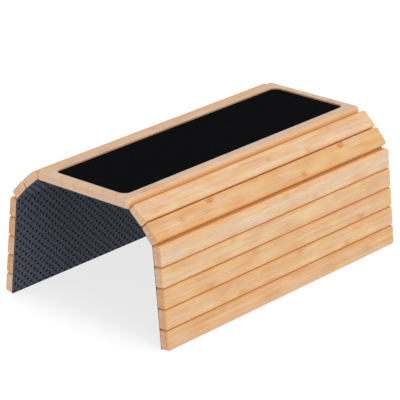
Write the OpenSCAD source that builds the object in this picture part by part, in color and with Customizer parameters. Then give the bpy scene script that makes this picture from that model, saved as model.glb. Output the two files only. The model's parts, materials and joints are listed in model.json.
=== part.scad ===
// Sofa arm tray. A centre panel lies on the arm of a sofa and holds a pad in a shallow
// pocket. On each side hangs a wing of narrow slats. One sheet of non-slip fabric is glued
// under everything and is the hinge at every joint, so it is modelled as one strip for each
// rigid piece. X runs across the arm, Y along it and Z up, from the foot of the wings.

/* [Centre panel] */
// Width of the centre panel, across the sofa arm
panel_w = 118.5; // [80:0.5:200]
// Length of the whole tray, along the sofa arm
tray_l = 350; // [200:5:500]
// Thickness of the centre panel
panel_t = 9; // [7:0.5:16]
// Radius of the panel's eased upper edge
panel_edge_r = 2.8; // [0.5:0.1:3]
// Radius of the panel's upright corners
panel_corner_r = 3.2; // [3:0.1:8]

/* [Pocket and pad] */
// Width of the rim beside the pocket
rim_side = 13; // [8:0.5:30]
// Width of the rim at each end of the pocket
rim_end = 9.5; // [6:0.5:30]
// Depth of the pocket
pocket_depth = 4; // [2:0.1:5]
// Radius of the pocket's corners, seen from above
pocket_r = 8; // [3:0.5:20]
// Radius of the rounded lip round the pocket
lip_r = 1; // [0.4:0.1:1.6]
// Thickness of the pad
pad_t = 2.2; // [0.8:0.1:4]
// Clearance between the pad and the wall of the pocket
pad_clearance = 0.3; // [0.1:0.05:1]

/* [Slats] */
// Number of slats in each wing
slat_count = 7; // [4:1:9]
// Width of one slat
slat_w = 20.2; // [12:0.2:40]
// Thickness of one slat
slat_t = 9; // [5:0.5:14]
// Gap between neighbours when the tray is spread flat
slat_gap = 0.4; // [0.3:0.1:2]
// Radius of a slat's eased upper edge
slat_edge_r = 1.9; // [0.5:0.1:2.4]
// Radius of a slat's upright corners
slat_corner_r = 2.6; // [2.4:0.1:6]

/* [Backing fabric] */
// Thickness of the fabric
backing_t = 1.4; // [0.6:0.1:3]
// Width of the line of fabric that stays free to bend at each hinge
hinge_line_w = 0.4; // [0.3:0.1:1]
// Largest bend at one hinge, in degrees, to which the fabric's edges are slanted
bend_limit = 42; // [42:1:60]
// Distance that the fabric stops short of the wood, at the ends and the foot of each wing
backing_inset = 0.1; // [0:0.1:4]

/* [Rest pose] */
// Bend at the first hinge, between the panel and the first slat, in degrees
bend_first = 40.5; // [0:0.5:42]
// Bend at the second hinge
bend_second = 7.1; // [0:0.1:42]
// Bend at the third hinge
bend_third = 36.6; // [0:0.2:42]
// Bend at every hinge below the third
bend_lower = 0; // [0:0.5:5]

/* [Hidden] */
$fn = 64;
SIDES = ["right", "left"];

// Overshoot of a cutting body past the face that it cuts
past = 1;
// One slat and the gap beside it
pitch = slat_w + slat_gap;
edge_slant = backing_t * tan(bend_limit / 2);
pocket_w = panel_w - 2 * rim_side;
pocket_l = tray_l - 2 * rim_end;

// Bend at hinge k, and the slope of slat k below the horizontal
function bend(k) =
    k == 1 ? bend_first :
    k == 2 ? bend_second :
    k == 3 ? bend_third : bend_lower;
function slope(k) = k == 0 ? 0 : slope(k - 1) + bend(k);

// Hinge k lies on the face of the fabric that is glued to the wood, in the middle of the
// gap beside slat k.
function hinge_x(k) =
    k == 1 ? (panel_w + slat_gap) / 2 : hinge_x(k - 1) + pitch * cos(slope(k - 1));
function hinge_drop(k) = k == 1 ? 0 : hinge_drop(k - 1) + pitch * sin(slope(k - 1));

// Depth below the first hinge of a point on the last slat, which is so far along the slat
// from its own hinge and so far out from the hinge line
function foot_depth(along, out) =
    hinge_drop(slat_count) + along * sin(slope(slat_count)) - out * cos(slope(slat_count));
slat_foot = slat_gap / 2 + slat_w;
wing_depth = max(
    foot_depth(slat_foot, 0),
    foot_depth(slat_foot - slat_edge_r, slat_t - slat_edge_r) + slat_edge_r,
    foot_depth(slat_foot - backing_inset, -backing_t)
);
function hinge_z(k) = wing_depth - hinge_drop(k);
panel_z = hinge_z(1);
panel_top = panel_z + panel_t;

wood_colour = [0.9, 0.73, 0.54];
pad_colour = [0.07, 0.07, 0.08];
fabric_colour = [0.22, 0.23, 0.28];

module rounded_rectangle(w, l, r) {
    square([w, l - 2 * r], center = true);
    square([w - 2 * r, l], center = true);
    for (x = [-1, 1], y = [-1, 1]) translate([x * (w / 2 - r), y * (l / 2 - r)]) circle(r);
}

// Section of what is cut away to round an edge, whose wood lies on the far side of the wall
module edge_section(r) {
    difference() {
        translate([-r, -r]) square(2 * r);
        translate([r, -r]) circle(r);
    }
}

// Carries a section round a rectangle with round corners: one straight run for each wall
// and a turn at each corner
module edge_cutter(w, l, corner_r) {
    run_w = w - 2 * corner_r;
    run_l = l - 2 * corner_r;
    for (turn = [0, 180]) {
        rotate(turn) translate([w / 2, run_l / 2, 0])
            rotate([90, 0, 0]) linear_extrude(run_l) children();
        rotate(turn) translate([-run_w / 2, l / 2, 0])
            rotate([90, 0, 90]) linear_extrude(run_w) children();
    }
    for (x = [-1, 1], y = [-1, 1])
        translate([x * run_w / 2, y * run_l / 2, 0])
            rotate(x > 0 ? (y > 0 ? 0 : 270) : (y > 0 ? 90 : 180))
                rotate_extrude(angle = 90) translate([corner_r, 0]) children();
}

// A board with upright rounded corners, whose upper edge is eased all the way round
module board(w, l, t, edge_r, corner_r) {
    difference() {
        linear_extrude(t) rounded_rectangle(w, l, corner_r);
        translate([0, 0, t]) edge_cutter(w, l, corner_r) mirror([1, 0]) edge_section(edge_r);
    }
}

module centre_panel() {
    color(wood_colour)
        difference() {
            translate([0, 0, panel_z])
                board(panel_w, tray_l, panel_t, panel_edge_r, panel_corner_r);
            translate([0, 0, panel_top - pocket_depth])
                linear_extrude(pocket_depth + past)
                    rounded_rectangle(pocket_w, pocket_l, pocket_r);
            translate([0, 0, panel_top])
                edge_cutter(pocket_w, pocket_l, pocket_r) edge_section(lip_r);
        }
}

module pad() {
    color(pad_colour)
        translate([0, 0, panel_top - pocket_depth])
            linear_extrude(pad_t)
                rounded_rectangle(
                    pocket_w - 2 * pad_clearance,
                    pocket_l - 2 * pad_clearance,
                    pocket_r - pad_clearance
                );
}

// Puts what is drawn along X from its hinge, and out along Z, in its place on a wing
module on_wing(side, k) {
    mirror([side == "left" ? 1 : 0, 0, 0])
        translate([hinge_x(k), 0, hinge_z(k)])
            rotate([0, slope(k), 0]) children();
}

module slat(side, k) {
    color(wood_colour)
        on_wing(side, k)
            translate([pitch / 2, 0, 0])
                board(slat_w, tray_l, slat_t, slat_edge_r, slat_corner_r);
}

// A strip of the fabric below the wood, from one free line to the next. Beside a hinge its
// edge slants back, so that neighbours clear each other when the hinge is bent to its limit.
module backing_strip(from_x, to_x, to_slant = edge_slant) {
    color(fabric_colour)
        rotate([90, 0, 0])
            linear_extrude(tray_l - 2 * backing_inset, center = true)
                polygon([
                    [from_x, 0],
                    [from_x + edge_slant, -backing_t],
                    [to_x - to_slant, -backing_t],
                    [to_x, 0]
                ]);
}

module backing_centre() {
    edge = hinge_x(1) - hinge_line_w / 2;
    translate([0, 0, hinge_z(1)]) backing_strip(-edge, edge);
}

module backing(side, k) {
    on_wing(side, k)
        if (k < slat_count)
            backing_strip(hinge_line_w / 2, pitch - hinge_line_w / 2);
        else
            backing_strip(hinge_line_w / 2, slat_foot - backing_inset, 0);
}

centre_panel();
pad();
backing_centre();
for (side = SIDES, k = [1:slat_count])
    slat(side, k);
for (side = SIDES, k = [1:slat_count])
    backing(side, k);
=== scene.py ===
import json
import math
import random

import bpy
import numpy as np
from mathutils import Matrix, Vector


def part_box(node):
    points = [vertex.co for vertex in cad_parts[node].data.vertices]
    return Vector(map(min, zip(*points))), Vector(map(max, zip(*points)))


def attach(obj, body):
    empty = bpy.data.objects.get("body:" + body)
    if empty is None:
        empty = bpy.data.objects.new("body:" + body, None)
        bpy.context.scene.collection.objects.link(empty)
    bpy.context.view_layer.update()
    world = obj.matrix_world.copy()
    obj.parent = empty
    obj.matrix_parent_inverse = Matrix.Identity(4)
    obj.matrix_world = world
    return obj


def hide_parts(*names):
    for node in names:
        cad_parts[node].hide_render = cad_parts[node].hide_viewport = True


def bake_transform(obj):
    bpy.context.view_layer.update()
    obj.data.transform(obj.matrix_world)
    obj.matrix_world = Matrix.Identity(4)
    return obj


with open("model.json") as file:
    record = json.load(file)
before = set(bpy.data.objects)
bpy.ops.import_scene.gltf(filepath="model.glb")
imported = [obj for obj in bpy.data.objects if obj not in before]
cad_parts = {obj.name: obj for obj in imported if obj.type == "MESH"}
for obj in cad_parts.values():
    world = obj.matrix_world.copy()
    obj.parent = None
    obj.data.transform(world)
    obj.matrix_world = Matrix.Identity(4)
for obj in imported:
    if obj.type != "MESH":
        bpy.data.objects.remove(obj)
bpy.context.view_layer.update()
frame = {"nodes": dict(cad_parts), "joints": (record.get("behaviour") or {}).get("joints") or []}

# Sofa arm tray of bamboo: a centre panel with a felt mat in its pocket, two wings of slats,
# and one sheet of dotted fabric that is glued under everything and bends at every hinge.
# Lengths are in metres, and the shaders work in millimetres along each board.

MM = 0.001
SIDES = {"right": 1, "left": -1}
SLATS = sum(name.startswith("slat_right_") for name in frame["nodes"])
PANEL_LOW, PANEL_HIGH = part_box("centre_panel")
LENGTH = PANEL_HIGH[1] - PANEL_LOW[1]

# Backing fabric
DOT_RADIUS = 1.5 * MM
DOT_HEIGHT = 0.4 * MM
DOT_SUNK = 0.05 * MM
DOT_SIDES = 10
DOT_SPACING = 8.8 * MM
DOT_MARGIN = 2 * MM
ROWS_PER_SLAT = 5
ROWS_ON_HALF_PANEL = 14
SEAM_ROWS = 2
BEND_ZONE = 1.2 * MM
GLUE_DEPTH = 0.01 * MM
# Material slots of the dots, and of the painted warm gap shade on the glued side of the cloth
DOT_SLOT, GAP_SHADE_SLOT = 1, 2
WEAVE_MM = 0.62

# Bamboo. A board is glued from strips of this width.
STRIP_MM = 6.8
# Painted glow of light bounced between the boards: a golden tint towards the long sides of a board, and on its
# eased edges, which lie that far up
GROOVE_GLOW_MM = 6.5
EDGE_MM = 1.8
EDGE_DEPTH_MM = (5.5, 7.5)
# Where the painted contact shade on the last slat starts and is full, across the slat
FOOT_MM = (16.8, 20.0)
FOOT_SHADE = 0.75
# How grey the panel's rim is, and how far from its long sides that is in full
RIM_GREY = 0.26
RIM_GREY_MM = 8.0

# Marks of the bamboo's nodes on the slats that the photo shows: how far from the near end in
# millimetres, on which strip counted from the upper edge, and how strong
SEEN_MARKS = {
    "slat_right_1": [(152, 0, 0.25), (186, 1, 0.5), (241, 2, 0.55), (287, 0, 0.35)],
    "slat_right_2": [(42, 1, 0.5), (86, 0, 0.9), (218, 2, 0.7), (286, 0, 1.0)],
    "slat_right_3": [(42, 2, 0.3), (184, 0, 0.45), (228, 2, 0.35)],
    "slat_right_4": [(101, 0, 0.45), (304, 0, 0.35)],
    "slat_right_5": [(66, 2, 0.5), (132, 0, 0.6), (297, 2, 0.7)],
    "slat_right_6": [(92, 0, 0.5), (110, 2, 0.6), (199, 0, 0.7), (272, 2, 0.6)],
    "slat_right_7": [(80, 0, 0.5), (304, 1, 0.35)],
}
# How pale, how pink and how dark at the ends those slats are, from 0 to 1
SEEN_TONES = {
    "slat_right_1": (0.7, 0.6, 0.15),
    "slat_right_2": (0.5, 0.5, 0.5),
    "slat_right_3": (0.75, 0.6, 0.7),
    "slat_right_4": (0.55, 0.45, 0.45),
    "slat_right_5": (0.45, 0.45, 0.85),
    "slat_right_6": (0.45, 0.4, 0.7),
    "slat_right_7": (0.45, 0.45, 0.65),
    "slat_left_1": (0.5, 0.6, 0.0),
    "slat_left_2": (0.5, 0.5, 0.15),
    "slat_left_3": (0.5, 0.5, 0.7),
    "slat_left_4": (0.5, 0.4, 0.95),
    "slat_left_5": (0.5, 0.5, 0.5),
    "slat_left_6": (0.5, 0.5, 0.95),
    "slat_left_7": (0.5, 0.6, 0.0),
    "centre_panel": (0.62, 0.75, 0.0),
}
NODE_SPACING_MM = 200


def srgb(red, green, blue):
    """Linear colour from 0 to 255 screen values."""
    channels = [value / 255 for value in (red, green, blue)]
    return [c / 12.92 if c <= 0.04045 else ((c + 0.055) / 1.055) ** 2.4 for c in channels] + [1]


# Wing layout, read from the frame's joints

def read_wing(side):
    """[(x, z, slope before, slope after)] of one wing's hinges, with x as on the right side."""
    joints = {joint["name"]: joint for joint in frame["joints"]}
    hinges, slope = [], 0.0
    for k in range(1, SLATS + 1):
        joint = joints[f"{side}_hinge_{k}"]
        x, _, z = joint["pos_m"]
        bend = math.radians(-joint["range_deg"][0])
        hinges.append((abs(x), z, slope, slope + bend))
        slope += bend
    return hinges


WINGS = {side: read_wing(side) for side in SIDES}
HINGES = WINGS["right"]
PITCH = math.dist(HINGES[0][:2], HINGES[1][:2])
BACKING_LOW, BACKING_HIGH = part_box("backing_centre")
BACKING_T = BACKING_HIGH[2] - BACKING_LOW[2]
CLOTH_T = BACKING_T - DOT_HEIGHT
CLOTH_END = BACKING_HIGH[1]


def body_name(side, k):
    return f"{side}_{k}" if k else "centre"


def reach(node, hinge):
    """How far a node of the right wing reaches from a hinge, along the slat beyond it."""
    x, z, _, slope = hinge
    points = np.array([v.co for v in frame["nodes"][node].data.vertices])
    return float(np.max((points[:, 0] - x) * math.cos(slope) - (points[:, 2] - z) * math.sin(slope)))


# Meshes

def new_mesh_object(name, points, faces, materials, uv=None, slots=None):
    """A smooth-shaded mesh. Slots has the number of each face's material, and uv a pair for each point."""
    mesh = bpy.data.meshes.new(name)
    mesh.from_pydata([tuple(p) for p in points], [], faces)
    mesh.polygons.foreach_set("use_smooth", [True] * len(mesh.polygons))
    for material in materials:
        mesh.materials.append(material)
    if slots is not None:
        mesh.polygons.foreach_set("material_index", slots)
    mesh.set_sharp_from_angle(angle=math.radians(50))
    if uv is not None:
        layer = mesh.uv_layers.new(name="flat")
        corners = np.empty(len(mesh.loops), dtype=np.int32)
        mesh.loops.foreach_get("vertex_index", corners)
        layer.data.foreach_set("uv", np.asarray(uv, float)[corners].ravel())
    obj = bpy.data.objects.new(name, mesh)
    bpy.context.collection.objects.link(obj)
    return obj


def sheet_section(steps=12, arc_steps=4):
    """Section of the cloth across its length as (y, depth) points: flat faces and round edges."""
    radius = CLOTH_T / 2
    flat_end = CLOTH_END - radius
    lower = [(y, CLOTH_T) for y in np.linspace(-flat_end, flat_end, steps + 1)]
    upper = [(y, 0.0) for y in np.linspace(flat_end, -flat_end, steps + 1)]
    turns = [math.pi * i / (arc_steps + 1) for i in range(1, arc_steps + 1)]
    far = [(flat_end + radius * math.sin(a), radius + radius * math.cos(a)) for a in turns]
    near = [(-y, CLOTH_T - depth) for y, depth in far]
    return np.array(lower + far + upper + near)


def sheet_lines(start, end):
    """Distances from the hinge at which the cloth gets a line of points, dense where it bends."""
    inside = np.linspace(-BEND_ZONE, BEND_ZONE, 9)
    before = np.linspace(start, -BEND_ZONE, 4)[:-1] if start < -BEND_ZONE else []
    after = np.linspace(BEND_ZONE, end, 4)[1:]
    return np.concatenate([before, inside, after])


def sweep(section, lines, foot_end=None):
    """Flat points (distance, y, depth) and faces of the sheet between the first and last line.

    With foot_end the sheet ends there in a rounded edge."""
    rings = [np.column_stack([np.full(len(section), s), section]) for s in lines]
    if foot_end is not None:
        radius = CLOTH_T / 2
        for turn in (0.0, 0.3, 0.6, 0.85):
            shrink = radius * (1 - math.cos(turn * math.pi / 2))
            ring = np.column_stack([np.zeros(len(section)), section])
            ring[:, 0] = foot_end - radius + radius * math.sin(turn * math.pi / 2)
            ring[:, 1] -= np.sign(ring[:, 1]) * np.minimum(shrink, np.abs(ring[:, 1]))
            ring[:, 2] = radius + (ring[:, 2] - radius) * (1 - shrink / radius)
            rings.append(ring)
    count = len(section)
    faces = [tuple(range(count))]
    for i in range(len(rings) - 1):
        for j in range(count):
            a, b = i * count + j, i * count + (j + 1) % count
            faces.append((a, a + count, b + count, b))
    last = (len(rings) - 1) * count
    faces.append(tuple(last + j for j in reversed(range(count))))
    return np.concatenate(rings), faces


def dot_shape():
    """Points (distance, y, depth) and faces of one raised dot, a low dome with its foot in the cloth."""
    rings = [(1.0, -DOT_SUNK / DOT_HEIGHT), (0.97, 0.35), (0.8, 0.7), (0.48, 0.93)]
    points = []
    for share, rise in rings:
        for i in range(DOT_SIDES):
            turn = 2 * math.pi * i / DOT_SIDES
            points.append((
                share * DOT_RADIUS * math.cos(turn),
                share * DOT_RADIUS * math.sin(turn),
                CLOTH_T + rise * DOT_HEIGHT,
            ))
    points.append((0, 0, CLOTH_T + DOT_HEIGHT))
    faces = [tuple(reversed(range(DOT_SIDES)))]
    for ring in range(len(rings) - 1):
        for i in range(DOT_SIDES):
            a, b = ring * DOT_SIDES + i, ring * DOT_SIDES + (i + 1) % DOT_SIDES
            faces.append((a, b, b + DOT_SIDES, a + DOT_SIDES))
    top, crown = (len(rings) - 1) * DOT_SIDES, len(points) - 1
    faces += [(top + i, top + (i + 1) % DOT_SIDES, crown) for i in range(DOT_SIDES)]
    return np.array(points), faces


def dot_places(side, k, start, end):
    """Middles (distance from hinge k, y) of the dots on one part of the sheet.

    Rows are counted from the first hinge outwards, and every second row is set off by half."""
    row_step = PITCH / ROWS_PER_SLAT
    panel_step = HINGES[0][0] / ROWS_ON_HALF_PANEL
    hinge_run = (k - 1) * PITCH
    places = []
    for row in range(-ROWS_ON_HALF_PANEL, ROWS_PER_SLAT * SLATS):
        run = (row + 0.5) * (panel_step if row < 0 else row_step) - hinge_run
        if not start < run < end - DOT_RADIUS / 2:
            continue
        offset = (row + (side == "left")) % 2 / 2
        per_side = int(CLOTH_END / DOT_SPACING) + 1
        for column in range(-per_side, per_side + 1):
            y = (column + offset) * DOT_SPACING
            if abs(y) < CLOTH_END - DOT_MARGIN:
                places.append((run, y))
    return places


def bend_round(flat, hinge, sign):
    """Places flat points (distance, y, depth) round a hinge, bent as the tray is at rest."""
    x, z, before, after = hinge
    share = np.clip((flat[:, 0] + BEND_ZONE) / (2 * BEND_ZONE), 0, 1)
    slope = before + (after - before) * share * share * (3 - 2 * share)
    cos, sin = np.cos(slope), np.sin(slope)
    return np.column_stack([
        sign * (x + flat[:, 0] * cos - flat[:, 2] * sin),
        flat[:, 1],
        z - flat[:, 0] * sin - flat[:, 2] * cos,
    ])


def cloth_part(name, side, k, start, end, materials, foot=False):
    """One part of the sheet round hinge k, from start to end along it, with its dots."""
    hinge = WINGS[side][k - 1]
    radius = CLOTH_T / 2
    lines = np.linspace(start, end - 1.5 * radius, 4) if foot else sheet_lines(start, end)
    points, faces = sweep(sheet_section(), lines, foot_end=end if foot else None)
    dot_points, dot_faces = dot_shape()
    all_points, all_faces = [points], list(faces)
    count = len(points)
    for run, y in dot_places(side, k, start, end):
        all_points.append(dot_points + np.array([run, y, 0]))
        all_faces += [tuple(count + i for i in face) for face in dot_faces]
        count += len(dot_points)
    flat = np.concatenate(all_points)
    sign = SIDES[side]
    if sign < 0:
        all_faces = [tuple(reversed(face)) for face in all_faces]
    uv = np.column_stack([flat[:, 0] + (k - 1) * PITCH, flat[:, 1]]) / MM
    # Faces on the glued side get the painted warm shade seen in the gaps
    glued = [GAP_SHADE_SLOT if max(points[list(face), 2]) < GLUE_DEPTH else 0 for face in faces]
    slots = glued + [DOT_SLOT] * (len(all_faces) - len(faces))
    placed = bend_round(flat, hinge, sign)
    return new_mesh_object(name, placed, all_faces, materials, uv, slots)


def cloth(materials):
    """The backing sheet: a part round every hinge, and one at the foot of each wing."""
    seam = SEAM_ROWS * PITCH / ROWS_PER_SLAT
    foot_end = reach(f"backing_right_{SLATS}", HINGES[-1])
    for side, sign in SIDES.items():
        for k in range(1, SLATS + 1):
            x, z, before, after = WINGS[side][k - 1]
            start = seam - PITCH if k > 1 else -x
            part = cloth_part(f"cloth_{side}_{k}", side, k, start, seam, materials)
            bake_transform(part)
            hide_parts(f"backing_{side}_{k}", *(["backing_centre"] if k == 1 else []))
        foot = cloth_part(f"cloth_{side}_foot", side, SLATS, seam, foot_end, materials, foot=True)
        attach(foot, body_name(side, SLATS))
        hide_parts(f"backing_{side}_{SLATS}")


def rounded_outline(half_w, half_l, radius, inset, steps=10):
    """Points round a rectangle with round corners, drawn in by inset."""
    points = []
    for quarter, (sx, sy) in enumerate([(1, 1), (-1, 1), (-1, -1), (1, -1)]):
        for i in range(steps + 1):
            turn = (quarter + i / steps) * math.pi / 2
            reach_in = radius - inset
            points.append((
                sx * (half_w - radius) + reach_in * math.cos(turn),
                sy * (half_l - radius) + reach_in * math.sin(turn),
            ))
    return points


def felt_mat(material):
    """The mat in the pocket: cut felt with soft upper edges, lying flat."""
    low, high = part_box("pad")
    half_w, half_l = high[0], high[1]
    corner = 7.7 * MM
    ease = 0.7 * MM
    profile = [(0.15 * MM, low[2]), (0.0, low[2] + 0.3 * MM), (0.0, high[2] - ease)]
    for i in range(1, 5):
        turn = i / 4 * math.pi / 2
        profile.append((ease * (1 - math.cos(turn)), high[2] - ease + ease * math.sin(turn)))
    profile += [(2.5 * MM, high[2]), (5 * MM, high[2])]
    points, faces = [], []
    count = len(rounded_outline(half_w, half_l, corner, 0))
    for inset, z in profile:
        points += [(x, y, z) for x, y in rounded_outline(half_w, half_l, corner, inset)]
    faces.append(tuple(reversed(range(count))))
    for ring in range(len(profile) - 1):
        for i in range(count):
            a, b = ring * count + i, ring * count + (i + 1) % count
            faces.append((a, b, b + count, a + count))
    faces.append(tuple((len(profile) - 1) * count + i for i in range(count)))
    mat = new_mesh_object("felt_mat", points, faces, [material])
    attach(mat, "centre")
    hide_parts("pad")


# Shader helpers

def add(tree, kind, inputs=None, **settings):
    """Adds a node, sets it up and fills its inputs with values or links."""
    node = tree.nodes.new(kind)
    for name, value in settings.items():
        setattr(node, name, value)
    for name, value in (inputs or {}).items():
        if isinstance(value, bpy.types.NodeSocket):
            tree.links.new(value, node.inputs[name])
        else:
            node.inputs[name].default_value = value
    return node


def maths(tree, operation, *values):
    return add(tree, "ShaderNodeMath", dict(enumerate(values)), operation=operation).outputs[0]


def ramp(tree, factor, low, high):
    """0 at low, 1 at high, smooth between them."""
    node = add(tree, "ShaderNodeMapRange", interpolation_type="SMOOTHSTEP")
    for name, value in {"Value": factor, "From Min": low, "From Max": high}.items():
        if isinstance(value, bpy.types.NodeSocket):
            tree.links.new(value, node.inputs[name])
        else:
            node.inputs[name].default_value = value
    return node.outputs["Result"]


def noise(tree, vector, scale, detail=2.0, roughness=0.5):
    inputs = {"Vector": vector, "Scale": scale, "Detail": detail, "Roughness": roughness}
    return add(tree, "ShaderNodeTexNoise", inputs).outputs["Fac"]


def mix(tree, factor, a, b, blend_type="MIX"):
    node = add(tree, "ShaderNodeMix", data_type="RGBA", blend_type=blend_type)
    for name, value in ((0, factor), (6, a), (7, b)):
        if isinstance(value, bpy.types.NodeSocket):
            tree.links.new(value, node.inputs[name])
        else:
            node.inputs[name].default_value = value
    return node.outputs[2]


def new_group(name, inputs, outputs):
    """A node group with (name, kind) sockets. Returns the tree and its input and output nodes."""
    tree = bpy.data.node_groups.new(name, "ShaderNodeTree")
    for label, kind in inputs:
        tree.interface.new_socket(label, in_out="INPUT", socket_type=kind)
    for label, kind in outputs:
        tree.interface.new_socket(label, in_out="OUTPUT", socket_type=kind)
    return tree, tree.nodes.new("NodeGroupInput"), tree.nodes.new("NodeGroupOutput")


def new_material(name, **values):
    """A material whose Principled shader has these values. Returns it with its tree and shader."""
    material = bpy.data.materials.new(name)
    material.use_nodes = True
    shader = material.node_tree.nodes["Principled BSDF"]
    for label, value in values.items():
        shader.inputs[label.replace("_", " ")].default_value = value
    return material, material.node_tree, shader


# Bamboo

def bamboo_group():
    """Colour, roughness and bump of bamboo, from millimetres across, along and out of the board."""
    tree, entry, result = new_group(
        "bamboo",
        [("Board", "NodeSocketVector"), ("Seed", "NodeSocketFloat"), ("Pale", "NodeSocketFloat"),
         ("Pink", "NodeSocketFloat"), ("Ends", "NodeSocketFloat"), ("Width", "NodeSocketFloat"),
         ("Foot", "NodeSocketFloat"), ("Grey", "NodeSocketFloat"), ("Marks", "NodeSocketFloat")],
        [("Color", "NodeSocketColor"), ("Roughness", "NodeSocketFloat"), ("Height", "NodeSocketFloat")],
    )
    board = add(tree, "ShaderNodeSeparateXYZ", {0: entry.outputs["Board"]}).outputs
    seed, marks = entry.outputs["Seed"], entry.outputs["Marks"]

    # Fibres run along the board and swerve a little at a node of the cane
    swerve = maths(tree, "MULTIPLY", marks, 0.9)
    across = maths(tree, "ADD", board["X"], swerve)
    wander = noise(tree, add(tree, "ShaderNodeCombineXYZ", {
        0: maths(tree, "MULTIPLY", board["X"], 0.05),
        1: maths(tree, "MULTIPLY", board["Y"], 0.012), 2: seed}).outputs[0], 1.0)
    across = maths(tree, "ADD", across, maths(tree, "MULTIPLY", wander, 2.0))

    def fibre(per_mm_across, per_mm_along, detail, shift):
        point = add(tree, "ShaderNodeCombineXYZ", {
            0: maths(tree, "MULTIPLY", across, per_mm_across),
            1: maths(tree, "MULTIPLY", board["Y"], per_mm_along),
            2: maths(tree, "ADD", maths(tree, "MULTIPLY", board["Z"], per_mm_across),
                     maths(tree, "ADD", seed, shift)),
        }).outputs[0]
        return noise(tree, point, 1.0, detail)

    bands = fibre(0.28, 0.011, 2.0, 3.1)
    streaks = fibre(0.9, 0.028, 3.0, 7.7)
    threads = fibre(3.2, 0.07, 2.0, 11.3)
    clouds = fibre(0.07, 0.03, 2.0, 29.7)
    dashes = ramp(tree, fibre(2.4, 0.09, 1.0, 17.9), 0.6, 0.72)

    # Each strip has its own shade, and a thin line where it is glued to the next
    strip_at = maths(tree, "DIVIDE", board["X"], STRIP_MM)
    strip_key = maths(tree, "ADD", maths(tree, "FLOOR", strip_at), maths(tree, "MULTIPLY", seed, 7.3))
    strip_shade = add(tree, "ShaderNodeTexWhiteNoise", {"W": strip_key}, noise_dimensions="1D")
    from_line = maths(tree, "PINGPONG", strip_at, 0.5)
    glue = maths(tree, "SUBTRACT", 1.0, ramp(tree, from_line, 0.0, 0.035))

    tone = entry.outputs["Pale"]
    for part, weight in (
        (bands, 0.8), (streaks, 0.75), (threads, 0.4), (clouds, 0.8), (strip_shade.outputs["Value"], 0.22),
    ):
        tone = maths(tree, "ADD", tone, maths(tree, "MULTIPLY", maths(tree, "SUBTRACT", part, 0.5), weight))
    colour = add(tree, "ShaderNodeValToRGB", {"Fac": tone})
    stops = colour.color_ramp
    stops.elements[0].position, stops.elements[0].color = 0.0, srgb(212, 154, 102)
    stops.elements[1].position, stops.elements[1].color = 1.0, srgb(236, 210, 180)
    middle = stops.elements.new(0.5)
    middle.color = srgb(229, 185, 140)
    colour = colour.outputs["Color"]

    # Pinkish and golden patches
    hue = maths(tree, "ADD", entry.outputs["Pink"],
                maths(tree, "MULTIPLY", maths(tree, "SUBTRACT", fibre(0.22, 0.025, 2.0, 23.0), 0.5), 2.2))
    tint = mix(tree, ramp(tree, hue, 0.0, 1.0), srgb(252, 251, 226), srgb(245, 243, 252))
    colour = mix(tree, 1.0, colour, tint, "MULTIPLY")

    # Darker dashes of the vascular bundles, glue lines and the marks of the nodes
    colour = mix(tree, maths(tree, "MULTIPLY", dashes, 0.35), colour, srgb(186, 126, 76))
    colour = mix(tree, maths(tree, "MULTIPLY", glue, 0.3), colour, srgb(176, 116, 68))
    stain = maths(tree, "MULTIPLY", marks, maths(tree, "ADD", 0.45, maths(tree, "MULTIPLY", streaks, 0.8)))
    colour = mix(tree, ramp(tree, stain, 0.02, 0.9), colour, srgb(200, 126, 64))

    # Painted glow of light bounced in the grooves: the upper face is tinted golden towards its long sides, most of
    # all on the eased edges
    half = maths(tree, "MULTIPLY", entry.outputs["Width"], 0.5)
    from_middle = maths(tree, "ABSOLUTE", maths(tree, "SUBTRACT", board["X"], half))
    from_side = maths(tree, "SUBTRACT", half, from_middle)
    groove_glow = maths(tree, "ADD", maths(tree, "MULTIPLY", ramp(tree, from_side, GROOVE_GLOW_MM, 0.0), 0.28),
                   maths(tree, "MULTIPLY", ramp(tree, from_side, EDGE_MM, 0.0), 0.22))
    groove_glow = maths(tree, "MULTIPLY", groove_glow, ramp(tree, board["Z"], *EDGE_DEPTH_MM))
    rim = maths(tree, "MULTIPLY", entry.outputs["Grey"], 2.0)
    groove_glow = maths(tree, "MULTIPLY", groove_glow, maths(tree, "SUBTRACT", 1.0, rim))
    grey = maths(tree, "MULTIPLY", entry.outputs["Grey"], ramp(tree, from_side, 0.0, RIM_GREY_MM))
    colour = mix(tree, grey, colour, srgb(190, 176, 162))
    colour = mix(tree, groove_glow, colour, srgb(234, 156, 80))

    # Painted light: the sides, seen only in the gaps, are tinted a deep golden, as if lit by light bounced between
    # the boards
    side = maths(tree, "MULTIPLY", ramp(tree, from_side, 0.7, 0.35), ramp(tree, board["Z"], 8.2, 6.6))
    colour = mix(tree, maths(tree, "MULTIPLY", side, 0.7), colour, srgb(246, 200, 140))
    # Painted shade: the lower part of the panel's sides, deep in the groove next to the first slat, is darker
    groove_shade = maths(tree, "MULTIPLY", side, ramp(tree, board["Z"], 6.0, 1.0))
    colour = mix(tree, maths(tree, "MULTIPLY", groove_shade, rim), colour, srgb(176, 122, 76))

    # Painted contact shade: the foot of a wing is greyer, where it meets what it stands on
    foot_shade = maths(tree, "MULTIPLY", entry.outputs["Foot"], ramp(tree, board["X"], *FOOT_MM))
    colour = mix(tree, foot_shade, colour, srgb(176, 172, 168))

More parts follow.
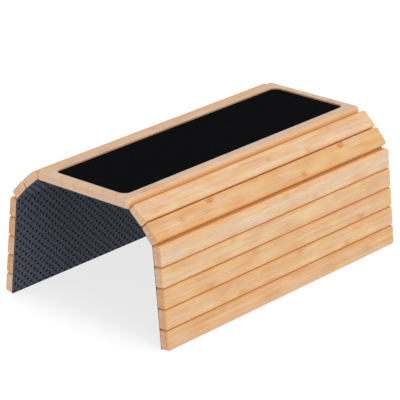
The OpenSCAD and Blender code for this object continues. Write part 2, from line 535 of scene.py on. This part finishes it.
    # The ends show the cut bundles as small dark specks
    normal = add(tree, "ShaderNodeTexCoord").outputs["Normal"]
    facing = add(tree, "ShaderNodeSeparateXYZ", {0: normal}).outputs["Y"]
    end = ramp(tree, maths(tree, "ABSOLUTE", facing), 0.5, 0.85)
    speck_point = add(tree, "ShaderNodeCombineXYZ", {
        0: board["X"], 1: maths(tree, "MULTIPLY", board["Z"], 0.8), 2: seed}).outputs[0]
    specks = add(tree, "ShaderNodeTexVoronoi", {"Vector": speck_point, "Scale": 1.5}).outputs["Distance"]
    speck_mask = maths(tree, "SUBTRACT", 1.0, ramp(tree, specks, 0.12, 0.42))
    ray_point = add(tree, "ShaderNodeCombineXYZ", {
        0: maths(tree, "MULTIPLY", board["X"], 0.55), 1: maths(tree, "MULTIPLY", board["Z"], 0.07),
        2: seed}).outputs[0]
    rays = maths(tree, "MULTIPLY", maths(tree, "SUBTRACT", noise(tree, ray_point, 1.0, 3.0), 0.5), 2.6)
    outward = maths(tree, "MULTIPLY", maths(tree, "SUBTRACT", board["Z"], 4.5), 0.05)
    ends = maths(tree, "ADD", entry.outputs["Ends"], maths(tree, "ADD", rays, outward))
    end_base = mix(tree, ramp(tree, ends, -0.3, 1.3), srgb(242, 206, 178), srgb(226, 153, 97))
    end_colour = mix(tree, maths(tree, "MULTIPLY", speck_mask, 0.25), end_base, srgb(176, 116, 74))
    end_colour = mix(tree, 0.35, end_colour, colour)
    colour = mix(tree, end, colour, end_colour)

    roughness = maths(tree, "ADD", 0.4, maths(tree, "MULTIPLY", streaks, 0.16))
    roughness = maths(tree, "ADD", roughness, maths(tree, "MULTIPLY", end, 0.15))
    height = maths(tree, "ADD", maths(tree, "MULTIPLY", threads, 0.6), maths(tree, "MULTIPLY", streaks, 0.5))
    height = maths(tree, "SUBTRACT", height, maths(tree, "MULTIPLY", glue, 0.5))
    height = maths(tree, "SUBTRACT", height, maths(tree, "MULTIPLY", dashes, 0.25))
    tree.links.new(colour, result.inputs["Color"])
    tree.links.new(roughness, result.inputs["Roughness"])
    tree.links.new(height, result.inputs["Height"])
    return tree


def mark_group():
    """How much a point belongs to one mark: a ragged line across a strip, with a soft stain round it."""
    tree, entry, result = new_group(
        "node_mark",
        [("Board", "NodeSocketVector"), ("Across", "NodeSocketFloat"), ("Along", "NodeSocketFloat"),
         ("Strength", "NodeSocketFloat")],
        [("Mark", "NodeSocketFloat")],
    )
    board = add(tree, "ShaderNodeSeparateXYZ", {0: entry.outputs["Board"]}).outputs
    ragged_at = add(tree, "ShaderNodeCombineXYZ", {
        0: maths(tree, "MULTIPLY", board["X"], 0.7), 1: maths(tree, "MULTIPLY", board["Y"], 0.1),
        2: maths(tree, "MULTIPLY", board["Z"], 0.7)}).outputs[0]
    ragged = noise(tree, ragged_at, 1.0, 3.0)
    off_across = maths(tree, "SUBTRACT", board["X"], entry.outputs["Across"])
    off_along = maths(tree, "SUBTRACT", board["Y"], entry.outputs["Along"])
    off_along = maths(tree, "ADD", off_along, maths(tree, "MULTIPLY", maths(tree, "SUBTRACT", ragged, 0.5), 16.0))
    in_strip = maths(tree, "SUBTRACT", 1.0, ramp(tree, maths(tree, "ABSOLUTE", off_across), 1.6, 4.4))
    stain = maths(tree, "SUBTRACT", 1.0, ramp(tree, maths(tree, "ABSOLUTE", off_along), 1.0, 10.0))
    line = maths(tree, "SUBTRACT", 1.0, ramp(tree, maths(tree, "ABSOLUTE", off_along), 0.3, 2.2))
    mark = maths(tree, "ADD", maths(tree, "MULTIPLY", stain, 0.8), maths(tree, "MULTIPLY", line, 0.2))
    mark = maths(tree, "MULTIPLY", maths(tree, "MULTIPLY", mark, in_strip), entry.outputs["Strength"])
    tree.links.new(mark, result.inputs["Mark"])
    return tree


def made_up_marks(name, strips):
    """Marks for a board that the photo hides: about one node per strip and cane length."""
    chance = random.Random(name)
    marks = []
    for strip in range(strips):
        along = chance.uniform(0, NODE_SPACING_MM)
        while along < LENGTH / MM:
            marks.append((round(along), strip, round(chance.uniform(0.15, 0.7), 2)))
            along += NODE_SPACING_MM * chance.uniform(0.85, 1.15)
    return [mark for mark in marks if chance.random() < 0.75]


def bamboo_board(name, seed, origin, slope, sign, first_strip, width, foot, grey, groups, marks, tone):
    """The bamboo of one board, whose coordinates start at origin and follow the board's slope."""
    bamboo, node_mark = groups
    material, tree, shader = new_material(
        f"bamboo_{name}", Coat_Weight=0.12, Coat_Roughness=0.3, Specular_IOR_Level=0.4)
    place = add(
        tree, "ShaderNodeMapping",
        {"Vector": add(tree, "ShaderNodeTexCoord").outputs["Object"], "Location": origin,
         "Rotation": (0, sign * slope, 0), "Scale": (sign * MM, MM, MM)},
        vector_type="TEXTURE",
    ).outputs[0]
    total = None
    for along, strip, strength in marks:
        one = add(tree, "ShaderNodeGroup", node_tree=node_mark)
        tree.links.new(place, one.inputs["Board"])
        one.inputs["Across"].default_value = first_strip + (strip + 0.5) * STRIP_MM
        one.inputs["Along"].default_value = along
        one.inputs["Strength"].default_value = strength
        mark = one.outputs["Mark"]
        total = mark if total is None else maths(tree, "MAXIMUM", total, mark)
    board = add(tree, "ShaderNodeGroup", node_tree=bamboo)
    tree.links.new(place, board.inputs["Board"])
    values = {"Seed": seed, "Width": width, "Foot": foot, "Grey": grey,
              **dict(zip(("Pale", "Pink", "Ends"), tone))}
    for label, value in values.items():
        board.inputs[label].default_value = value
    if total is not None:
        tree.links.new(total, board.inputs["Marks"])
    bump = add(tree, "ShaderNodeBump", {"Strength": 0.35, "Distance": 0.06 * MM,
                                        "Height": board.outputs["Height"]})
    tree.links.new(board.outputs["Color"], shader.inputs["Base Color"])
    tree.links.new(board.outputs["Roughness"], shader.inputs["Roughness"])
    tree.links.new(bump.outputs["Normal"], shader.inputs["Normal"])
    return material


def dress_wood():
    """Gives the panel and every slat its own bamboo."""
    groups = bamboo_group(), mark_group()
    near_end = PANEL_LOW[1]
    slat_edge = (PITCH / MM - 3 * STRIP_MM) / 2
    panel_width = (PANEL_HIGH[0] - PANEL_LOW[0]) / MM
    boards = {"centre_panel": ((PANEL_LOW[0], near_end, PANEL_LOW[2]), 0.0, 1, 0.0, panel_width, 0.0, RIM_GREY, 17)}
    for side, sign in SIDES.items():
        for k, (x, z, _, slope) in enumerate(WINGS[side], 1):
            # The last slat of a wing gets painted contact shade at its foot
            boards[f"slat_{side}_{k}"] = (
                (sign * x, near_end, z), slope, sign, slat_edge, PITCH / MM, FOOT_SHADE * (k == SLATS), 0.0, 3)
    for seed, (name, (*layout, strips)) in enumerate(boards.items()):
        chance = random.Random(name)
        tone = SEEN_TONES.get(name, (chance.uniform(0.35, 0.7), chance.uniform(0.3, 0.6), chance.random()))
        marks = SEEN_MARKS.get(name) or made_up_marks(name, strips)
        material = bamboo_board(name, seed * 5.7, *layout, groups, marks, tone)
        frame["nodes"][name].material_slots[0].material = material


# Felt and fabric

def felt_material():
    material, tree, shader = new_material(
        "black_felt", Roughness=1.0, Specular_IOR_Level=0.02)
    place = add(tree, "ShaderNodeTexCoord").outputs["Object"]
    fuzz = noise(tree, place, 2200, 3.0, 0.65)
    clumps = noise(tree, place, 320, 3.0)
    tone = maths(tree, "ADD", maths(tree, "MULTIPLY", fuzz, 0.6), maths(tree, "MULTIPLY", clumps, 0.4))
    colour = mix(tree, ramp(tree, tone, 0.3, 0.7), srgb(6, 6, 9), srgb(16, 16, 20))
    bump = add(tree, "ShaderNodeBump", {"Strength": 0.6, "Distance": 0.25 * MM, "Height": tone})
    tree.links.new(colour, shader.inputs["Base Color"])
    tree.links.new(bump.outputs["Normal"], shader.inputs["Normal"])
    return material


def rubber_material():
    """The near-black rubber of the dots."""
    material, tree, shader = new_material("black_rubber", Roughness=0.7, Specular_IOR_Level=0.15)
    place = add(tree, "ShaderNodeUVMap", uv_map="flat").outputs[0]
    tone = noise(tree, place, 1.6, 3.0)
    colour = mix(tree, tone, srgb(3, 4, 14), srgb(10, 12, 27))
    bump = add(tree, "ShaderNodeBump", {"Strength": 0.3, "Distance": 0.05 * MM, "Height": tone})
    tree.links.new(colour, shader.inputs["Base Color"])
    tree.links.new(bump.outputs["Normal"], shader.inputs["Normal"])
    return material


def fabric_material():
    """Plain-woven blue-grey cloth."""
    material, tree, shader = new_material("woven_fabric", Roughness=0.9, Specular_IOR_Level=0.25)
    flat = add(tree, "ShaderNodeSeparateXYZ", {
        0: add(tree, "ShaderNodeUVMap", uv_map="flat").outputs[0]}).outputs

    def wave(coordinate, per_mm):
        return maths(tree, "SINE", maths(tree, "MULTIPLY", coordinate, per_mm))

    turn = math.pi / WEAVE_MM
    weave = maths(tree, "MULTIPLY", wave(flat["X"], turn), wave(flat["Y"], turn))
    yarn = maths(tree, "ABSOLUTE", maths(tree, "MULTIPLY", wave(flat["X"], 2 * turn), wave(flat["Y"], 2 * turn)))
    point = add(tree, "ShaderNodeCombineXYZ", {0: flat["X"], 1: flat["Y"]}).outputs[0]
    heather = maths(tree, "MULTIPLY", noise(tree, point, 0.5, 3.0, 0.7), 1.8)
    height = maths(tree, "ADD", maths(tree, "MULTIPLY", weave, 0.4), maths(tree, "MULTIPLY", yarn, 0.3))
    tone = maths(tree, "ADD", maths(tree, "MULTIPLY", height, 0.4), heather)
    colour = mix(tree, ramp(tree, tone, 0.5, 1.4), srgb(29, 31, 40), srgb(100, 104, 121))
    bump = add(tree, "ShaderNodeBump", {"Strength": 0.7, "Distance": 0.15 * MM, "Height": height})
    tree.links.new(colour, shader.inputs["Base Color"])
    tree.links.new(bump.outputs["Normal"], shader.inputs["Normal"])
    return material


def gap_shade_material():
    """Painted shade: an amber-brown colour on the side of the cloth that is stuck to the wood, seen only at the
    bottom of the gaps, standing in for their warm shade.
    """
    material, tree, shader = new_material("gap_shade_film", Roughness=0.45, Specular_IOR_Level=0.4)
    place = add(tree, "ShaderNodeUVMap", uv_map="flat").outputs[0]
    colour = mix(tree, noise(tree, place, 0.5, 3.0), srgb(150, 96, 52), srgb(196, 136, 82))
    tree.links.new(colour, shader.inputs["Base Color"])
    return material


# Studio

def floor_and_light():
    """A pale floor that glows a little, as on a light table, and soft light from above and the right."""
    reach_out = 6
    corners = [(-reach_out, -reach_out, 0), (reach_out, -reach_out, 0),
               (reach_out, reach_out, 0), (-reach_out, reach_out, 0)]
    material, _, shader = new_material("floor", Roughness=1.0, Specular_IOR_Level=0.0, Emission_Strength=0.77)
    shader.inputs["Base Color"].default_value = srgb(142, 142, 142)
    shader.inputs["Emission Color"].default_value = (1, 1, 1, 1)
    new_mesh_object("floor", corners, [(0, 1, 2, 3)], [material])

    world = bpy.data.worlds.new("studio")
    world.use_nodes = True
    background = world.node_tree.nodes["Background"]
    background.inputs["Color"].default_value = (1, 1, 1, 1)
    background.inputs["Strength"].default_value = 0.45
    bpy.context.scene.world = world

    for name, place, angle, strength in (
        ("overhead", (0, 0.02, 2), 26, 1.52),
        ("side", (2, -0.25, 0.75), 30, 0.91),
    ):
        light = bpy.data.lights.new(name, "SUN")
        light.angle, light.energy = math.radians(angle), strength
        lamp = bpy.data.objects.new(name, light)
        bpy.context.collection.objects.link(lamp)
        aim(lamp, place, (0, 0, 0))


def aim(obj, place, target):
    """Puts a lamp or camera at place, looking at target, with its top upwards."""
    back = np.array(place, float) - np.array(target, float)
    back /= np.linalg.norm(back)
    right = np.cross((0, 0, 1), back)
    right /= np.linalg.norm(right)
    up = np.cross(back, right)
    obj.matrix_world = Matrix((
        (right[0], up[0], back[0], place[0]),
        (right[1], up[1], back[1], place[1]),
        (right[2], up[2], back[2], place[2]),
        (0, 0, 0, 1),
    ))


def camera():
    """The photo's view: from the near end, to the right and above, through a long lens."""
    azimuth, elevation = math.radians(41.09), math.radians(21.56)
    distance = 2378.02 * MM
    target = np.array([-5.8, 0, 71.33]) * MM
    back = np.array([
        math.sin(azimuth) * math.cos(elevation),
        -math.cos(azimuth) * math.cos(elevation),
        math.sin(elevation),
    ])
    data = bpy.data.cameras.new("camera")
    data.lens, data.sensor_width = 213.68, 36
    obj = bpy.data.objects.new("camera", data)
    bpy.context.collection.objects.link(obj)
    aim(obj, target + distance * back, target)
    bpy.context.scene.camera = obj


camera()
floor_and_light()
dress_wood()
felt_mat(felt_material())
cloth([fabric_material(), rubber_material(), gap_shade_material()])

bpy.context.scene.view_settings.view_transform = "Standard"
